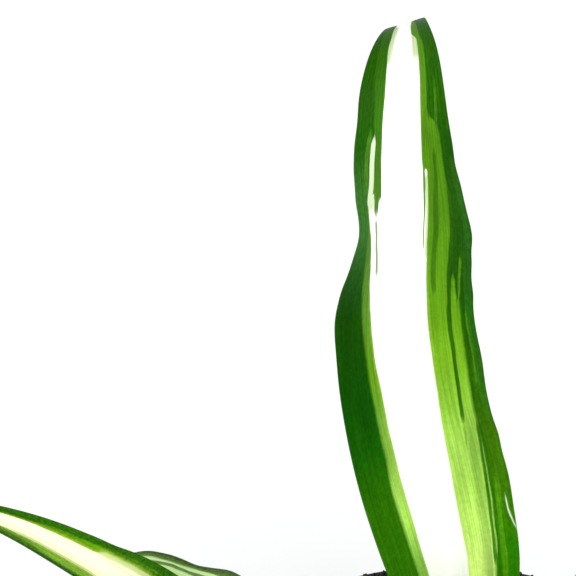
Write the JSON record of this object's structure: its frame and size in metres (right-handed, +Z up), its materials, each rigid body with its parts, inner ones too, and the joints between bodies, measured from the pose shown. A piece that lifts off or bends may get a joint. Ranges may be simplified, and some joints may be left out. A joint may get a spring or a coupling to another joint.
{
  "type": "potted spider plant",
  "caption": "Small house plant: long arching leaves with a pale middle stripe and green margins, rising from one short crown in a soil-filled tapered nursery pot.",
  "frame": {"origin": "middle of the pot's underside, on the surface that the pot stands on", "axes": "+Z up out of the pot, +Y away from the side the plant is best looked at from, behind the tall upright leaf, +X to the right"},
  "size_m": [0.2195, 0.1953, 0.181],
  "materials": {
    "pot": "satin",
    "soil": "matte",
    "crown": "satin",
    "leaf": "satin"
  },
  "bodies": {
    "root": {"pot": "pot", "soil": "soil", "crown": "crown", "leaf_upright": "leaf", "leaf_left": "leaf", "leaf_back_left": "leaf", "leaf_back": "leaf", "leaf_back_right": "leaf", "leaf_right_back": "leaf", "leaf_right": "leaf", "leaf_right_low": "leaf", "leaf_front_right": "leaf", "leaf_front_low": "leaf", "leaf_front": "leaf", "leaf_front_left_low": "leaf", "leaf_front_left": "leaf", "leaf_left_low": "leaf", "leaf_inner_front": "leaf", "leaf_inner_left": "leaf", "leaf_young_right": "leaf", "leaf_young_front": "leaf"}
  },
  "joints": []
}
